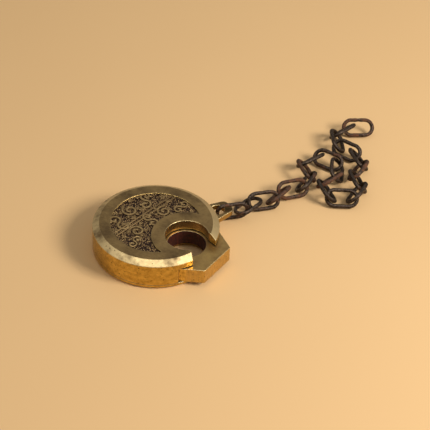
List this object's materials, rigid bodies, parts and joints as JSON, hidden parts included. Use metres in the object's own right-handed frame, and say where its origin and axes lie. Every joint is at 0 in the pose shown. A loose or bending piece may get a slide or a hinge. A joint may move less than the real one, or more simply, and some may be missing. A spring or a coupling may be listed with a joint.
{
  "type": "padlock with chain",
  "caption": "Old round brass padlock with a sunk ornamental face, a turning ring shackle with a hexagonal nose, a cast side lug and a short length of rusty oval-link iron chain.",
  "frame": {"origin": "middle of the round case's back face", "axes": "+Z out of the back face towards the ornamented front, +X from the middle of the case to the staple hole"},
  "size_m": [0.0929, 0.1619, 0.0144],
  "materials": {
    "case_brass": "dark olive-brown patina over cast brass, polished on the bevel",
    "plate_brass": "worn golden brass",
    "ring_brass": "greenish-tan patina on top, rubbed bright on the nose's edges",
    "inner_brass": "dull, dry brass",
    "steel": "dark, lightly rusted steel",
    "chain_iron": "dark brown iron with orange rust patches"
  },
  "bodies": {
    "case": {"case_body": "case_brass", "back_plate": "plate_brass", "rivets": "plate_brass", "stop_pin": "steel", "bolt_posts": "steel", "bolt_spring": "steel", "spring_post": "steel", "key_pin": "steel", "ward_ring": "inner_brass"},
    "ring": {"ring_shackle": "ring_brass"},
    "bolt": {"bolt": "inner_brass"},
    "link_01": {"chain_link_01": "chain_iron"},
    "link_02": {"chain_link_02": "chain_iron"},
    "link_03": {"chain_link_03": "chain_iron"},
    "link_04": {"chain_link_04": "chain_iron"},
    "link_05": {"chain_link_05": "chain_iron"},
    "link_06": {"chain_link_06": "chain_iron"},
    "link_07": {"chain_link_07": "chain_iron"},
    "link_08": {"chain_link_08": "chain_iron"},
    "link_09": {"chain_link_09": "chain_iron"},
    "link_10": {"chain_link_10": "chain_iron"},
    "link_11": {"chain_link_11": "chain_iron"},
    "link_12": {"chain_link_12": "chain_iron"},
    "link_13": {"chain_link_13": "chain_iron"},
    "link_14": {"chain_link_14": "chain_iron"},
    "link_15": {"chain_link_15": "chain_iron"},
    "link_16": {"chain_link_16": "chain_iron"},
    "link_17": {"chain_link_17": "chain_iron"},
    "link_18": {"chain_link_18": "chain_iron"},
    "link_19": {"chain_link_19": "chain_iron"},
    "link_20": {"chain_link_20": "chain_iron"},
    "link_21": {"chain_link_21": "chain_iron"}
  },
  "joints": [
    {"name": "ring_turn", "type": "hinge", "parent": "case", "child": "ring", "pos_m": [0.0163, 0, 0.0057], "axis": [0, 0, 1], "range_deg": [0, 111]},
    {"name": "bolt_slide", "type": "slide", "parent": "case", "child": "bolt", "axis": [1, 0, 0], "range_m": [0, 0.0044]},
    {"name": "link_01_swing", "type": "hinge", "parent": "case", "child": "link_01", "pos_m": [0.0139, 0.0304, 0.004], "axis": [0, 0, -1], "range_deg": [-8, 8]},
    {"name": "link_02_swing", "type": "hinge", "parent": "link_01", "child": "link_02", "pos_m": [0.0251, 0.0404, 0.004], "axis": [0, 0, -1], "range_deg": [-20, 20]},
    {"name": "link_03_swing", "type": "hinge", "parent": "link_02", "child": "link_03", "pos_m": [0.0208, 0.046, 0.004], "axis": [0, 0, -1], "range_deg": [-20, 20]},
    {"name": "link_04_swing", "type": "hinge", "parent": "link_03", "child": "link_04", "pos_m": [0.0322, 0.0561, 0.004], "axis": [0, 0, 1], "range_deg": [-19, 4]},
    {"name": "link_05_swing", "type": "hinge", "parent": "link_04", "child": "link_05", "pos_m": [0.0312, 0.0661, 0.004], "axis": [0, 0, 1], "range_deg": [-8, 20]},
    {"name": "link_06_swing", "type": "hinge", "parent": "link_05", "child": "link_06", "pos_m": [0.0368, 0.0671, 0.004], "axis": [0, 0, 1], "range_deg": [-20, 7]},
    {"name": "link_07_swing", "type": "hinge", "parent": "link_06", "child": "link_07", "pos_m": [0.0381, 0.0772, 0.004], "axis": [0, 0, 1], "range_deg": [-20, 7]},
    {"name": "link_08_swing", "type": "hinge", "parent": "link_07", "child": "link_08", "pos_m": [0.0282, 0.0835, 0.004], "axis": [0, 0, 1], "range_deg": [-3, 20]},
    {"name": "link_09_swing", "type": "hinge", "parent": "link_08", "child": "link_09", "pos_m": [0.0299, 0.0951, 0.004], "axis": [0, 0, 1], "range_deg": [-3, 20]},
    {"name": "link_10_swing", "type": "hinge", "parent": "link_09", "child": "link_10", "pos_m": [0.0408, 0.0975, 0.004], "axis": [0, 0, -1], "range_deg": [-20, 3]},
    {"name": "link_11_swing", "type": "hinge", "parent": "link_10", "child": "link_11", "pos_m": [0.0476, 0.084, 0.004], "axis": [0, 0, -1], "range_deg": [-13, 8]},
    {"name": "link_12_swing", "type": "hinge", "parent": "link_11", "child": "link_12", "pos_m": [0.044, 0.0749, 0.004], "axis": [0, 0, 1], "range_deg": [-20, 3]},
    {"name": "link_13_swing", "type": "hinge", "parent": "link_12", "child": "link_13", "pos_m": [0.0539, 0.0698, 0.004], "axis": [0, 0, 1], "range_deg": [-20, 3]},
    {"name": "link_14_swing", "type": "hinge", "parent": "link_13", "child": "link_14", "pos_m": [0.0627, 0.0778, 0.004], "axis": [0, 0, -1], "range_deg": [-3, 20]},
    {"name": "link_15_swing", "type": "hinge", "parent": "link_14", "child": "link_15", "pos_m": [0.062, 0.0834, 0.004], "axis": [0, 0, -1], "range_deg": [-7, 20]},
    {"name": "link_16_swing", "type": "hinge", "parent": "link_15", "child": "link_16", "pos_m": [0.0516, 0.0943, 0.004], "axis": [0, 0, -1], "range_deg": [-18, 8]},
    {"name": "link_17_swing", "type": "hinge", "parent": "link_16", "child": "link_17", "pos_m": [0.0548, 0.0992, 0.004], "axis": [0, 0, 1], "range_deg": [-20, 7]},
    {"name": "link_18_swing", "type": "hinge", "parent": "link_17", "child": "link_18", "pos_m": [0.0488, 0.1069, 0.004], "axis": [0, 0, 1], "range_deg": [-20, 10]},
    {"name": "link_19_swing", "type": "hinge", "parent": "link_18", "child": "link_19", "pos_m": [0.0337, 0.1086, 0.004], "axis": [0, 0, -1], "range_deg": [-20, 5]},
    {"name": "link_20_swing", "type": "hinge", "parent": "link_19", "child": "link_20", "pos_m": [0.0298, 0.1183, 0.004], "axis": [0, 0, 1], "range_deg": [-5, 20]},
    {"name": "link_21_swing", "type": "hinge", "parent": "link_20", "child": "link_21", "pos_m": [0.0344, 0.1276, 0.004], "axis": [0, 0, -1], "range_deg": [-20, 8]}
  ]
}
